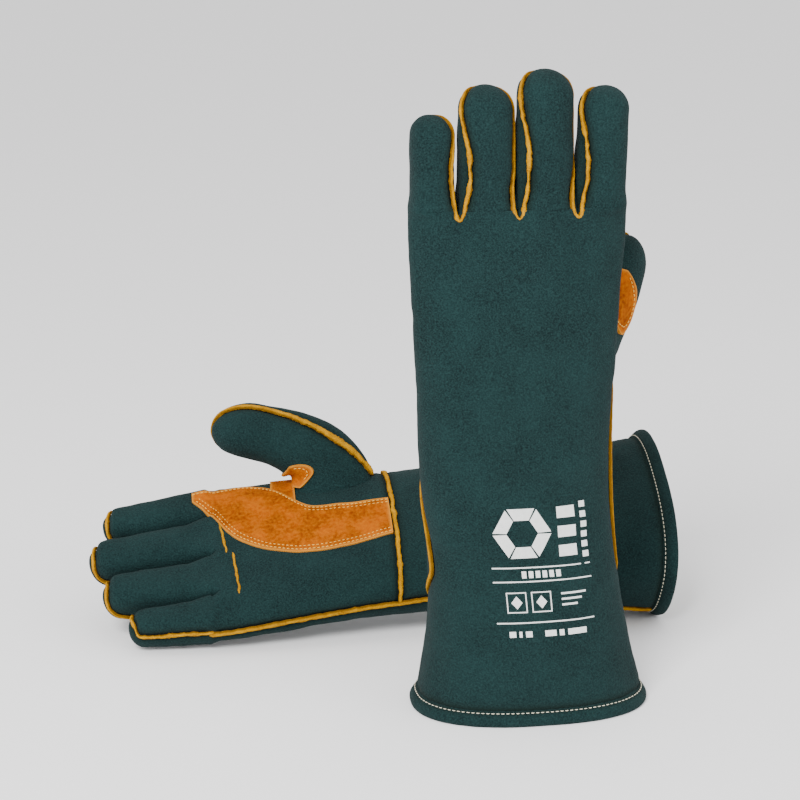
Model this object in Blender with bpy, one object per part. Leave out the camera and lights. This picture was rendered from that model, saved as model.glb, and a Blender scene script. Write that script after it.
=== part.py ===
"""A pair of long leather welding gauntlets: the left one stands on its cuff, the right one lies behind it.

Both gloves are built by the same functions in a glove frame: origin at the centre of the cuff's
rim, +X towards the thumb, +Y towards the palm, +Z towards the fingertips.  A Pose then puts the
points of one glove into the world, and mirrors them for the right hand.  Metres, +Z up.
"""
import math

import bmesh
import bpy
import numpy as np

# ---------------------------------------------------------------- driving dimensions (metres)
CROTCH_Z = 0.3000          # rim to the base of the fingers
WRIST_Z = 0.1900           # rim to the wrist seam
HEM_HEIGHT = 0.0110        # turned and stitched band round the rim
HEM_FLARE = 0.0026         # how far the hem stands proud of the cuff

RIM_HALF_WIDTH = 0.0735    # half widths, across the glove
CUFF_HALF_WIDTH = 0.0620
WRIST_HALF_WIDTH = 0.0595
RIM_HALF_DEPTH = 0.0460    # half depths, back to palm
CUFF_HALF_DEPTH = 0.0340
WRIST_HALF_DEPTH = 0.0270
HAND_HALF_DEPTH = 0.0180
SECTION_POWER = 2.4        # superellipse power of every section

LEATHER = 0.0018           # split leather
LINING = 0.0012            # cotton lining
PATCH = 0.0014             # reinforcement leather
WELT = 0.0022              # diameter of the welt strip in a seam
CLEARANCE = 0.0003         # between pieces that touch
LINING_EASE = 0.0010       # between the leather and the lining
THUMB_LINING_EASE = 0.0018 # the same inside the thumb, which bends
STRAP_EASE = 0.0018        # between the thumb leather and the strap over it
SEAM_EASE = 0.0015         # between a leather's edge and the welt beside it

FINGER_NAMES = ("little", "ring", "middle", "index")
FINGER_WIDTH = {"little": 0.0284, "ring": 0.0355, "middle": 0.0362, "index": 0.0323}
HAND_HALF_WIDTH = sum(FINGER_WIDTH.values()) / 2
FINGER_LENGTH = {"little": 0.0740, "ring": 0.0910, "middle": 0.0995, "index": 0.0890}
FINGER_TIP_Z = {name: CROTCH_Z + FINGER_LENGTH[name] for name in FINGER_NAMES}
FINGER_SPREAD = {"little": -0.0010, "ring": 0.0, "middle": 0.0, "index": 0.0020}
FINGER_HALF_DEPTH = 0.0145
FINGER_GAP = 0.0012        # between neighbouring fingers at their base
FINGER_TAPER = 0.92        # width of the finger below its tip, over its width at the base
FINGER_SEAM = math.radians(20.0)   # the seams sit this far round towards the back
ROUND_FROM = 0.6           # share of a stall's rows below its round tip
THUMB_TURN = 0.60          # place on its centre line by which the thumb's sections have turned
THUMB_ROUND_FROM = 0.80    # place on the thumb's centre line where its round tip starts

THUMB_BASE_Z = WRIST_Z + 0.0350
THUMB_OUTWARD = 0.0325     # from the hand's middle plane line to the thumb's base, along the palm's edge
THUMB_FACING = math.radians(33.4)   # the thumb's base faces this far round from the palm to the side
THUMB_BASE_HALF = (0.0270, 0.0130)  # along the hand, across it
THUMB_HALF = (0.0185, 0.0150)
THUMB_RISE = 0.0320        # how far the thumb grows straight out of the palm before it bends up
STANDING_THUMB_TIP = (0.0800, 0.0480, THUMB_BASE_Z + 0.0640)
LYING_THUMB_TIP = (0.0900, 0.0460, THUMB_BASE_Z + 0.0870)

LEAN = 0.0115              # how far the standing glove's hand is off to the side of its rim
LYING_PLACE = (0.1262, 0.1660)      # where the lying glove's rim centre is on the floor
LYING_ROLL = math.radians(61.5)     # palm normal above the horizontal
LYING_PITCH = math.radians(3.2)     # fingers lower than the rim
LYING_ARCH = 0.0050                 # rise of the wrist between the rim and the fingertips

# ---------------------------------------------------------------- mesh fineness
ROUND = 10                 # quads round a panel of the hand
LINING_SIDES = 20
FINGER_LINING_SIDES = 10
WELT_BEVEL_RESOLUTION = 1

MATERIALS = {
    "green_leather": ((0.012, 0.055, 0.050, 1.0), 0.9),
    "golden_welt": ((0.62, 0.35, 0.05, 1.0), 0.8),
    "orange_leather": ((0.60, 0.19, 0.02, 1.0), 0.8),
    "cotton_lining": ((0.62, 0.60, 0.52, 1.0), 0.95),
}


# ---------------------------------------------------------------- sections of the hand and cuff
def smooth_curve(z, stations):
    """A smooth curve through (z, value) stations: cubic pieces with averaged end slopes."""
    zs = np.array([s[0] for s in stations])
    values = np.array([s[1] for s in stations])
    slopes = np.gradient(values, zs)
    z = np.clip(np.asarray(z, float), zs[0], zs[-1])
    i = np.clip(np.searchsorted(zs, z) - 1, 0, len(zs) - 2)
    step = zs[i + 1] - zs[i]
    t = (z - zs[i]) / step
    rise = t * t * (3 - 2 * t)
    return (values[i] * (1 - rise) + values[i + 1] * rise
            + step * (t * (1 - t) ** 2 * slopes[i] - t * t * (1 - t) * slopes[i + 1]))


def half_width(z):
    return smooth_curve(z, ((0.0, RIM_HALF_WIDTH), (0.3 * WRIST_Z, CUFF_HALF_WIDTH),
                            (0.9 * WRIST_Z, WRIST_HALF_WIDTH), (CROTCH_Z, HAND_HALF_WIDTH)))


def half_depth(z):
    return smooth_curve(z, ((0.0, RIM_HALF_DEPTH), (0.5 * WRIST_Z, CUFF_HALF_DEPTH),
                            (WRIST_Z, WRIST_HALF_DEPTH), (CROTCH_Z, HAND_HALF_DEPTH)))


def power(value, exponent):
    return np.sign(value) * np.abs(value) ** exponent


def section(angle, a, b):
    """A point of a superellipse: angle 0 is +X, 90 degrees is -Y, the back."""
    bend = 2.0 / SECTION_POWER
    return a * power(np.cos(angle), bend), -b * power(np.sin(angle), bend)


def hand_surface(angle, z, inset):
    """The outer surface of the hand and cuff, moved in by inset."""
    x, y = section(angle, half_width(z) - inset, half_depth(z) - inset)
    return np.stack([x, y, z + 0 * x], -1)


def palm_point(x, z, inset):
    """A point of the palm side above a given x."""
    a, b = half_width(z) - inset, half_depth(z) - inset
    y = b * (1 - np.abs(x / a) ** SECTION_POWER) ** (1 / SECTION_POWER)
    return np.stack([x + 0 * y, y, z + 0 * y], -1)


def strip_points(path, count=120):
    """Points close together along a strip's path."""
    steps = np.concatenate([[0], np.cumsum(np.linalg.norm(np.diff(path, axis=0), axis=1))])
    places = np.linspace(0, steps[-1], count)
    return np.stack([np.interp(places, steps, path[:, axis]) for axis in range(3)], -1)


def clear_edge(surface, along, seam, turn, path):
    """For each row, the first angle from the seam where both faces of the leather clear the welt.

    A row where the welt leaves no room within 80 degrees gives no number.
    """
    strip = strip_points(path)
    angle = seam + turn * np.radians(np.arange(2, 81))[None, :]
    rows = along[:, None] + 0 * angle
    away = [np.linalg.norm(surface(angle, rows, inset)[:, :, None] - strip, axis=-1).min(-1)
            for inset in (0.0, LEATHER)]
    free = np.minimum(*away) > WELT / 2 + SEAM_EASE
    return np.where(free.any(1), angle[0, free.argmax(1)], np.nan)


# ---------------------------------------------------------------- fingers
def finger_centre_x(name):
    """Middle of a finger at its base: the fingers stand side by side across the hand."""
    x = -sum(FINGER_WIDTH.values()) / 2
    for other in FINGER_NAMES:
        if other == name:
            return x + FINGER_WIDTH[name] / 2
        x += FINGER_WIDTH[other]


def finger_surface(name, angle, along, inset):
    """A finger of the glove: a tapering tube that ends in a round tip; along runs 0 to 1."""
    base = CROTCH_Z + CLEARANCE
    wide = (FINGER_WIDTH[name] - FINGER_GAP) / 2
    round_from = FINGER_TIP_Z[name] - wide
    z = np.where(along < ROUND_FROM, base + (round_from - base) * along / ROUND_FROM, round_from)
    turn = np.clip((along - ROUND_FROM) / (1 - ROUND_FROM), 0, 1) * math.pi / 2
    shrink = np.cos(turn)
    z = z + (wide - inset) * np.sin(turn)
    taper = 1 - (1 - FINGER_TAPER) * np.clip((z - base) / (round_from - base), 0, 1)
    x, y = section(angle, (wide * taper - inset) * shrink, (FINGER_HALF_DEPTH * taper - inset) * shrink)
    lean = (z - base) / (FINGER_TIP_Z[name] - base)
    x = x + finger_centre_x(name) + FINGER_SPREAD[name] * lean
    return np.stack([x, y, z + 0 * x], -1)


# ---------------------------------------------------------------- thumb
class Thumb:
    """A thumb stall: an oval that leaves the palm squarely and bends up to its tip."""

    def __init__(self, tip):
        self.tip = np.array(tip)
        self.out = np.array([math.sin(THUMB_FACING), math.cos(THUMB_FACING), 0.0])
        edge = np.array([math.cos(THUMB_FACING), -math.sin(THUMB_FACING), 0.0])
        angle, z = np.meshgrid(np.linspace(math.pi, 2 * math.pi, 60),
                               THUMB_BASE_Z + THUMB_BASE_HALF[0] * np.array([-1, 0, 1]))
        reach = (hand_surface(angle, z, 0.0) @ self.out).max() + CLEARANCE
        self.base = self.out * reach + edge * THUMB_OUTWARD + np.array([0.0, 0.0, THUMB_BASE_Z])
        self.knee = self.base + self.out * THUMB_RISE + np.array([0.0, 0.0, 0.35 * THUMB_RISE])

    def frame(self, along):
        """Centre, long and short directions of the section at each place along the thumb."""
        t = np.asarray(along, float)[..., None]
        centre = (1 - t) ** 2 * self.base + 2 * t * (1 - t) * self.knee + t * t * self.tip
        tangent = 2 * (1 - t) * (self.knee - self.base) + 2 * t * (self.tip - self.knee)
        square = smooth_step(t / THUMB_TURN)
        tangent = (1 - square) * self.out + square * tangent / np.linalg.norm(tangent, axis=-1, keepdims=True)
        tangent = tangent / np.linalg.norm(tangent, axis=-1, keepdims=True)
        up = np.array([0.0, 0.0, 1.0])
        long = up - (tangent @ up)[..., None] * tangent
        long = long / np.linalg.norm(long, axis=-1, keepdims=True)
        return centre, long, np.cross(long, tangent), tangent

    def surface(self, angle, along, inset):
        at = np.minimum(along, ROUND_FROM) / ROUND_FROM * THUMB_ROUND_FROM
        centre, long, short, tangent = self.frame(at)
        turn = np.clip((along - ROUND_FROM) / (1 - ROUND_FROM), 0, 1) * math.pi / 2
        grow = smooth_step(at / THUMB_ROUND_FROM)
        a = (THUMB_BASE_HALF[0] * (1 - grow) + THUMB_HALF[0] * grow - inset) * np.cos(turn)
        b = (THUMB_BASE_HALF[1] * (1 - grow) + THUMB_HALF[1] * grow - inset) * np.cos(turn)
        x, y = section(angle, a, b)
        reach = np.linalg.norm(self.tip - self.frame(np.array([THUMB_ROUND_FROM]))[0][0]) - inset
        return (centre + x[..., None] * long - y[..., None] * short
                + (np.sin(turn) * reach)[..., None] * tangent)


def smooth_step(t):
    t = np.clip(t, 0, 1)
    return t * t * (3 - 2 * t)


# ---------------------------------------------------------------- poses of the two gloves
class Standing:
    """The left glove: upright on its rim, with a slight lean towards the little finger."""
    side = "left"
    thumb_tip = STANDING_THUMB_TIP

    def place(self, points):
        points = np.asarray(points, float)
        shift = LEAN * smooth_step(points[..., 2] / WRIST_Z)
        return np.stack([points[..., 0] - shift, points[..., 1], points[..., 2]], -1)


class Lying:
    """The right glove: mirrored, laid along -X with its palm turned up and to the front."""
    side = "right"
    thumb_tip = LYING_THUMB_TIP

    def __init__(self):
        self.height = 0.0
        angle, z = np.meshgrid(np.linspace(0, 2 * math.pi, 90), np.linspace(0, CROTCH_Z, 90))
        self.height = -float(self.place(hand_surface(angle, z, -HEM_FLARE * (z < HEM_HEIGHT)))[..., 2].min())

    def place(self, points):
        points = np.asarray(points, float)
        thumb, palm, tips = points[..., 0], points[..., 1], points[..., 2]
        across = thumb * math.sin(LYING_ROLL) - palm * math.cos(LYING_ROLL)
        up = thumb * math.cos(LYING_ROLL) + palm * math.sin(LYING_ROLL)
        along = -tips * math.cos(LYING_PITCH) + up * math.sin(LYING_PITCH)
        up = up * math.cos(LYING_PITCH) - tips * math.sin(LYING_PITCH)
        arch = LYING_ARCH * np.sin(math.pi * np.clip(tips / max(FINGER_TIP_Z.values()), 0, 1)) ** 2
        return np.stack([LYING_PLACE[0] + along, LYING_PLACE[1] + across, self.height + up + arch], -1)


# ---------------------------------------------------------------- mesh building
def material(name):
    found = bpy.data.materials.get(name)
    if found:
        return found
    colour, roughness = MATERIALS[name]
    made = bpy.data.materials.new(name)
    made.use_nodes = True
    shader = made.node_tree.nodes["Principled BSDF"]
    shader.inputs["Base Color"].default_value = colour
    shader.inputs["Roughness"].default_value = roughness
    shader.inputs["Metallic"].default_value = 0.0
    return made


def register(name, data, material_name, parent):
    """Make the object: its data is in world space, so it is moved back by its parent's place."""
    made = bpy.data.objects.new(name, data)
    bpy.context.scene.collection.objects.link(made)
    data.materials.append(material(material_name))
    if parent is not None:
        made.parent = parent
    return made


def local_to(points, parent):
    """World points as they are stored under a parent empty that is only moved, not turned."""
    offset = np.array(parent.location) if parent is not None else np.zeros(3)
    return np.asarray(points) - offset


def closed_body(name, faces_points, material_name, parent):
    """A closed mesh from quads of points: equal points are merged, faces turned outwards."""
    shape = bmesh.new()
    for quad in faces_points:
        corners = []
        for point in quad:
            if not corners or min(math.dist(point, c.co) for c in corners) > 1e-7:
                corners.append(shape.verts.new(point))
        if len(corners) > 2:
            shape.faces.new(corners)
    bmesh.ops.remove_doubles(shape, verts=shape.verts, dist=1e-6)
    bmesh.ops.triangulate(shape, faces=shape.faces)
    bmesh.ops.recalc_face_normals(shape, faces=shape.faces)
    if shape.calc_volume(signed=True) < 0:
        bmesh.ops.reverse_faces(shape, faces=shape.faces)
    mesh = bpy.data.meshes.new(name)
    shape.to_mesh(mesh)
    shape.free()
    mesh.shade_smooth()
    mesh.set_sharp_from_angle(angle=math.radians(50))
    return register(name, mesh, material_name, parent)


def grid_quads(grid, closed):
    """The quads of a grid of points, joined round when closed."""
    rows, columns = grid.shape[:2]
    last = columns if closed else columns - 1
    return [[grid[i, j], grid[i, (j + 1) % columns], grid[i + 1, (j + 1) % columns], grid[i + 1, j]]
            for i in range(rows - 1) for j in range(last)]


def shell(name, outer, inner, material_name, parent, closed=False, end_open=(True, True)):
    """A wall between two grids of points: the rims close it where it ends."""
    outer, inner = local_to(outer, parent), local_to(inner, parent)
    quads = grid_quads(outer, closed) + grid_quads(inner[:, ::-1], closed)
    for row, is_open in zip((0, -1), end_open):
        if is_open:
            quads += grid_quads(np.stack([outer[row], inner[row]]), closed)
    if not closed:
        for column in (0, -1):
            quads += grid_quads(np.stack([outer[:, column], inner[:, column]]), False)
    return closed_body(name, quads, material_name, parent)


def welt(name, path, parent):
    """A round leather strip that fills a seam: a curve with a bevel and filled ends."""
    curve = bpy.data.curves.new(name, "CURVE")
    curve.dimensions = "3D"
    curve.bevel_depth = WELT / 2
    curve.bevel_resolution = WELT_BEVEL_RESOLUTION
    curve.use_fill_caps = True
    points = local_to(path, parent)
    spline = curve.splines.new("POLY")
    spline.points.add(len(points) - 1)
    spline.points.foreach_set("co", np.c_[points, np.ones(len(points))].ravel())
    return register(name, curve, "golden_welt", parent)


def empty(name, place):
    """A marker on a joint's axis: the moving pieces hang from it."""
    made = bpy.data.objects.new(name, None)
    made.location = place
    bpy.context.scene.collection.objects.link(made)
    return made


# ---------------------------------------------------------------- the pieces of one glove
def between(start, stop, count):
    """Angles from start to stop, one row for each height."""
    part = np.linspace(0, 1, count + 1)[None, :]
    return start[:, None] * (1 - part) + stop[:, None] * part


def leather(name, pose, surface, along, start, stop, count, parent):
    """A leather piece of a surface, between two edge angles that may change along it."""
    kept = ~(np.isnan(start) | np.isnan(stop)) & (stop - start > math.radians(8))
    angle = between(start[kept], stop[kept], count)
    rows = along[kept][:, None] + 0 * angle
    walls = [pose.place(surface(angle, rows, inset)) for inset in (0.0, LEATHER)]
    return shell(name, *walls, "green_leather", parent)


def side_seam(angle):
    """The path of a side welt, from the hem to the fingers."""
    z = np.linspace(HEM_HEIGHT + WELT / 2 + CLEARANCE, CROTCH_Z - WELT / 2, 12)
    return hand_surface(np.full_like(z, angle), z, WELT / 2)


def build_panels(pose, pieces):
    bottom = HEM_HEIGHT + CLEARANCE
    seam = WELT / 2 + CLEARANCE
    thumb_side, little_side = side_seam(0.0), side_seam(math.pi)
    for name, low, high, rows, turn in (
            ("back_panel", bottom, CROTCH_Z, 9, 1),
            ("cuff_panel", bottom, WRIST_Z - seam, 5, -1),
            ("palm_panel", WRIST_Z + seam, CROTCH_Z, 4, -1)):
        z = np.linspace(low, high, rows + 1)
        near = clear_edge(hand_surface, z, 0.0, turn, thumb_side)
        far = clear_edge(hand_surface, z, turn * math.pi, -turn, little_side)
        pieces[name] = leather(f"{pose.side}_{name}", pose, hand_surface, z,
                               np.minimum(near, far), np.maximum(near, far), ROUND, None)


def build_hem(pose):
    """The turned band round the rim: thick, flat underneath, a little proud of the cuff."""
    angle = np.linspace(0, 2 * math.pi, 2 * ROUND, endpoint=False)[None, :]
    outer_z = np.array([0.0, 0.25, 0.75, 1.0])[:, None] * HEM_HEIGHT
    proud = np.array([0.7, 1.0, 1.0, 0.3])[:, None] * HEM_FLARE
    outer = pose.place(hand_surface(angle, outer_z, 0.0 * proud - proud))
    inner = pose.place(hand_surface(angle, outer_z, LEATHER + 0 * proud))
    return shell(f"{pose.side}_cuff_hem", outer, inner, "green_leather", None, closed=True)


def build_hand_welts(pose):
    for name, angle in (("thumb_side_welt", 0.0), ("little_side_welt", math.pi)):
        welt(f"{pose.side}_{name}", pose.place(side_seam(angle)), None)
    path = hand_surface(np.radians(np.arange(180, 361, 1.0)), WRIST_Z, WELT / 2)
    ends = np.concatenate([strip_points(side_seam(angle)) for angle in (0.0, math.pi)])
    away = np.linalg.norm(path[:, None] - ends[None], axis=-1).min(-1)
    path = path[away > WELT + 2 * CLEARANCE][::10]
    welt(f"{pose.side}_wrist_welt", pose.place(path), None)


def patch_edges(z):
    """The palm patch's two long edges, as x along the hand."""
    low = smooth_curve(z, ((WRIST_Z, -0.016), (WRIST_Z + 0.040, -0.021),
                            (WRIST_Z + 0.075, -0.017), (CROTCH_Z, 0.006)))
    high = smooth_curve(z, ((WRIST_Z, 0.017), (WRIST_Z + 0.065, 0.024),
                             (WRIST_Z + 0.082, 0.044), (CROTCH_Z, 0.050)))
    return low, high


def build_palm_patch(pose):
    """The orange reinforcement, which lies on the palm from the wrist to the index finger."""
    z = np.linspace(WRIST_Z + WELT, CROTCH_Z - 2 * WELT - 0.004, 8)[:, None]
    low, high = patch_edges(z)
    part = np.linspace(0, 1, 7)[None, :]
    x = low * (1 - part) + high * part
    walls = [pose.place(palm_point(x, z, inset)) for inset in (-CLEARANCE - PATCH, -CLEARANCE)]
    return shell(f"{pose.side}_palm_patch", *walls, "orange_leather", None)


def build_hand_lining(pose):
    """The cotton lining of the cuff and hand, just inside the leather."""
    angle = np.linspace(0, 2 * math.pi, LINING_SIDES, endpoint=False)[None, :]
    z = np.linspace(HEM_HEIGHT, CROTCH_Z, 8)[:, None]
    start = LEATHER + LINING_EASE
    walls = [pose.place(hand_surface(angle, z, inset)) for inset in (start, start + LINING)]
    return shell(f"{pose.side}_hand_lining", *walls, "cotton_lining", None, closed=True)


def stall(pose, prefix, surface, hinge, sides, seam, ease):
    """The back and front leathers, the welt and the lining of a finger or thumb."""
    rise = np.concatenate([[0.0], np.linspace(0.03, 1.0, 10)])
    up = surface(np.full_like(rise, math.pi - seam), rise, WELT / 2)
    down = surface(np.full_like(rise, seam), rise, WELT / 2)[::-1]
    path = np.concatenate([up, down[1:]])
    welt(f"{pose.side}_{prefix}_welt", pose.place(path[1:-1]), hinge)
    along = np.concatenate([np.linspace(0, ROUND_FROM, 3, endpoint=False), np.linspace(ROUND_FROM, 0.90, 4)])
    for name, turn, count in (("back", 1, sides[0]), ("front", -1, sides[1])):
        near = clear_edge(surface, along, seam, turn, path)
        far = clear_edge(surface, along, math.pi - seam if turn > 0 else -math.pi - seam, -turn, path)
        leather(f"{pose.side}_{prefix}_{name}", pose, surface, along,
                np.minimum(near, far), np.maximum(near, far), count, hinge)
    angle = np.linspace(0, 2 * math.pi, FINGER_LINING_SIDES, endpoint=False)[None, :]
    along = np.append(along, 1.0)[:, None]
    start = LEATHER + ease
    walls = [pose.place(surface(angle, along + 0 * angle, inset)) for inset in (start, start + LINING)]
    shell(f"{pose.side}_{prefix}_lining", *walls, "cotton_lining", hinge, closed=True, end_open=(True, False))


def build_finger(pose, name):
    palm_side = np.array([finger_centre_x(name), FINGER_HALF_DEPTH, CROTCH_Z])
    hinge = empty(f"{pose.side}_{name}_hinge", pose.place(palm_side))
    stall(pose, name, lambda angle, along, inset: finger_surface(name, angle, along, inset),
          hinge, (4, 6), FINGER_SEAM, LINING_EASE)


def build_thumb(pose):
    thumb = Thumb(pose.thumb_tip)
    across = np.cross(np.array([0.0, 0.0, 1.0]), thumb.out)
    inner_edge = thumb.base + across * THUMB_BASE_HALF[1]
    hinge = empty(f"{pose.side}_thumb_hinge", pose.place(inner_edge))
    stall(pose, "thumb", thumb.surface, hinge, (5, 5), 0.0, THUMB_LINING_EASE)
    part = np.linspace(-0.9, 0.9, 6)[None, :]
    along = np.linspace(0.21, 0.47, 5)[:, None]
    walls = [pose.place(thumb.surface(part + 0 * along, along + 0 * part, inset))
             for inset in (-STRAP_EASE - PATCH, -STRAP_EASE)]
    shell(f"{pose.side}_thumb_strap", *walls, "orange_leather", hinge)
    return thumb


def cut_thumb_hole(pose, panel, thumb):
    """An oval hole in the palm panel, through which the wearer's thumb enters its stall."""
    angle = np.linspace(0, 2 * math.pi, 12, endpoint=False)
    a, b = THUMB_BASE_HALF[0] - LEATHER - LINING, THUMB_BASE_HALF[1] - LEATHER - LINING
    _, long, short, _ = thumb.frame(np.array([0.0]))
    ring = thumb.base + a * np.cos(angle)[:, None] * long + b * np.sin(angle)[:, None] * short
    depth = 0.014
    rings = np.stack([pose.place(ring - depth * thumb.out), pose.place(ring + 0.3 * depth * thumb.out)])
    quads = grid_quads(rings, True) + [list(rings[0]), list(rings[1][::-1])]
    cutter = closed_body(f"{pose.side}_thumb_hole_cutter", quads, "green_leather", None)
    cutter.display_type = "WIRE"
    cutter.hide_render = True
    cut = panel.modifiers.new("thumb_hole", "BOOLEAN")
    cut.operation = "DIFFERENCE"
    cut.solver = "EXACT"
    cut.object = cutter


def build_glove(pose):
    pieces = {}
    build_panels(pose, pieces)
    build_hem(pose)
    build_hand_welts(pose)
    build_palm_patch(pose)
    build_hand_lining(pose)
    for name in FINGER_NAMES:
        build_finger(pose, name)
    thumb = build_thumb(pose)
    cut_thumb_hole(pose, pieces["palm_panel"], thumb)


def centre_on_floor():
    """Move everything so that the pair's box stands centred on the origin."""
    bpy.context.view_layer.update()
    corners = []
    for made in bpy.data.objects:
        if made.type != "EMPTY" and not made.hide_render:
            corners += [made.matrix_world @ type(made.location)(corner) for corner in made.bound_box]
    corners = np.array(corners)
    low, high = corners.min(0), corners.max(0)
    shift = np.array([-(low[0] + high[0]) / 2, -(low[1] + high[1]) / 2, -low[2]])
    for made in bpy.data.objects:
        if made.parent is None:
            made.location = np.array(made.location) + shift
    print("moved by", shift, "box", high - low)


def main():
    for made in list(bpy.data.objects):
        bpy.data.objects.remove(made, do_unlink=True)
    for pose in (Standing(), Lying()):
        build_glove(pose)
    centre_on_floor()


main()
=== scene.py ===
import math

import bmesh
import bpy
import numpy as np
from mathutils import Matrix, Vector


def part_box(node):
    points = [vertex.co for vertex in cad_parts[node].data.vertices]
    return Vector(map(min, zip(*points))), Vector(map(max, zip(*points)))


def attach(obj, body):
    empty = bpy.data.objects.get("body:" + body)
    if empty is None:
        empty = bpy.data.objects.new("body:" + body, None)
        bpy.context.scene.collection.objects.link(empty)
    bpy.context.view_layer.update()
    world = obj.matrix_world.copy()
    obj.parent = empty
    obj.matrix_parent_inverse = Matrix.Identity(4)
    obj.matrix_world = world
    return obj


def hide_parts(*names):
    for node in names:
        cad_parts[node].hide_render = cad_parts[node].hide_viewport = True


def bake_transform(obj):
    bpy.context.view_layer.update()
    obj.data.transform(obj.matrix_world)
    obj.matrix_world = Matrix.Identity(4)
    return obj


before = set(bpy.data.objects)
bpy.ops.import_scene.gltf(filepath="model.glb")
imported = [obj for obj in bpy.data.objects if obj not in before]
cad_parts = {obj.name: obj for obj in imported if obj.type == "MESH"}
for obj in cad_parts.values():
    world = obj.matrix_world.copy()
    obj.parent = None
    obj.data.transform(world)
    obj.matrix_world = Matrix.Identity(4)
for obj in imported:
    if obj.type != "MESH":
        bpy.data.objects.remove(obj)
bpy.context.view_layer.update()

# %% [markdown]
# # A pair of welding gloves
#
# Two long split-leather gauntlets. One stands on its rim with its back to the front.
# The other lies behind it with its palm turned up. Each glove is sewn from separate
# leathers: a back, a palm, a cuff, and two pieces for each finger and the thumb.
# A golden welt strip is caught in every outside seam. All lengths are in metres.
#
# The glove's own axes are used first: x towards the thumb, y towards the palm and
# z from the rim to the fingertips. A pose then carries every point into place.

# %% The glove's measures
CROTCH_Z, WRIST_Z = 0.3180, 0.1900        # where the fingers part, and the wrist seam
FULL_Z = 0.3000                           # where the hand is widest
HAND_HALF = 0.0662                        # half the width across the four fingers
SECTION = 2.4                             # superellipse power of the hand's sections
BOXY, ROUNDED = 5.0, 2.5                  # the same of a finger's sections, at the crotch and above it
LEATHER, LINING, PATCH = 0.0018, 0.0012, 0.0014
CUT_EDGE = 0.0013                         # how wide the orange leather's pale cut edge looks
HEM_TOP, HEM_PROUD = 0.011, 0.0026        # the turned rim's height, and how far it stands out
SKIN_FROM, SEAM_FROM = 0.0080, 0.0095     # where the leathers and the side welts start, inside the hem
FINGERS = ("index", "middle", "ring", "little")
WIDTH = {"index": 0.0323, "middle": 0.0362, "ring": 0.0355, "little": 0.0284}
DEPTH = {"index": 0.0142, "middle": 0.0166, "ring": 0.0166, "little": 0.0138}
TIP_Z = {"index": 0.3890, "middle": 0.3995, "ring": 0.3910, "little": 0.3740}
SPREAD = {"index": 0.0020, "middle": 0.0, "ring": 0.0, "little": -0.0010}
# the angle of each finger's two seams, in degrees from its side towards the back
SEAM_THUMB_SIDE = {"index": -32.0, "middle": 2.0, "ring": 20.0, "little": 46.0}
SEAM_LITTLE_SIDE = {"index": 52.0, "middle": 52.0, "ring": 52.0, "little": -45.0}
CROTCH_SEAM = math.radians(52)            # where a seam between two fingers starts
TIP_ROLL = math.radians(38)               # how far a fingertip rolls over towards the palm
ROUND_FROM = 0.62                         # share of a stall's rows below its round tip
TIP_TO = 0.996                            # the last row of a stall's leathers, just short of its tip
BEND_LENGTH = 0.030                       # the length between a finger's two knuckle places
CENTRE = dict(zip(FINGERS, HAND_HALF - np.cumsum([WIDTH[f] for f in FINGERS])
                  + [WIDTH[f] / 2 for f in FINGERS]))
print("finger centres", {f: round(float(c), 4) for f, c in CENTRE.items()})


# %% Curves and sections
def smooth_step(t):
    """Rises from 0 to 1 with level ends."""
    t = np.clip(t, 0, 1)
    return t * t * (3 - 2 * t)


def smooth_curve(z, stations):
    """A smooth curve through (z, value) stations: cubic pieces with averaged end slopes."""
    zs, values = np.array(stations, float).T
    slopes = np.gradient(values, zs)
    z = np.clip(np.asarray(z, float), zs[0], zs[-1])
    i = np.clip(np.searchsorted(zs, z) - 1, 0, len(zs) - 2)
    step = zs[i + 1] - zs[i]
    t = (z - zs[i]) / step
    rise = t * t * (3 - 2 * t)
    return (values[i] * (1 - rise) + values[i + 1] * rise
            + step * (t * (1 - t) ** 2 * slopes[i] - t * t * (1 - t) * slopes[i + 1]))


def half_width(z):
    """Half the cuff's or hand's width: wide at the rim, narrow at the wrist, wide at the fingers."""
    return smooth_curve(z, ((0, 0.0735), (0.057, 0.0620), (0.171, 0.0595), (FULL_Z, HAND_HALF)))


def half_depth(z):
    """Half the thickness from back to palm, which only falls from the rim to the fingers."""
    return smooth_curve(z, ((0, 0.0460), (0.095, 0.0340), (WRIST_Z, 0.0270), (FULL_Z, 0.0180)))


def power(value, exponent):
    """A power of the size of a value that keeps its sign."""
    return np.sign(value) * np.abs(value) ** exponent


def unit(v):
    """Each vector divided by its own length."""
    return v / np.maximum(np.linalg.norm(v, axis=-1, keepdims=True), 1e-9)


def turns(count):
    """Evenly spaced angles once round."""
    return np.linspace(0, 2 * math.pi, count, endpoint=False)


def oval(angle, z, inset):
    """The smooth tube of the cuff and hand; angle 0 is the thumb side, 90 degrees the back.

    Each section is a superellipse: the sine and cosine are raised to two over its power.
    """
    a, b = half_width(z) - inset, half_depth(z) - inset
    x, y = a * power(np.cos(angle), 2 / SECTION), -b * power(np.sin(angle), 2 / SECTION)
    return np.stack([x, y, z + 0 * x], -1)


def arch(share, exponent):
    """Height of a superellipse arch above its base, at a share of its half width."""
    return np.clip(1 - np.abs(share) ** exponent, 0, 1) ** (1 / exponent)


def finger_section(name, z):
    """Half width, half depth and superellipse power of a finger: boxy at the crotch, round above."""
    up = np.clip((z - CROTCH_Z) / (TIP_Z[name] - CROTCH_Z), 0, 1)
    wide = WIDTH[name] / 2 * (1 - 0.075 * up) - 0.0006 * smooth_step((z - CROTCH_Z) / 0.008)
    deep = DEPTH[name] * (1 - 0.16 * smooth_step(up))
    return wide, deep, BOXY + (ROUNDED - BOXY) * smooth_step((z - CROTCH_Z) / 0.016)


def outer_side(name, share):
    """True on the sides of the index and little fingers that face away from the others."""
    if name == "index":
        return share > 0
    return (share < 0) & (name == "little")


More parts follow.
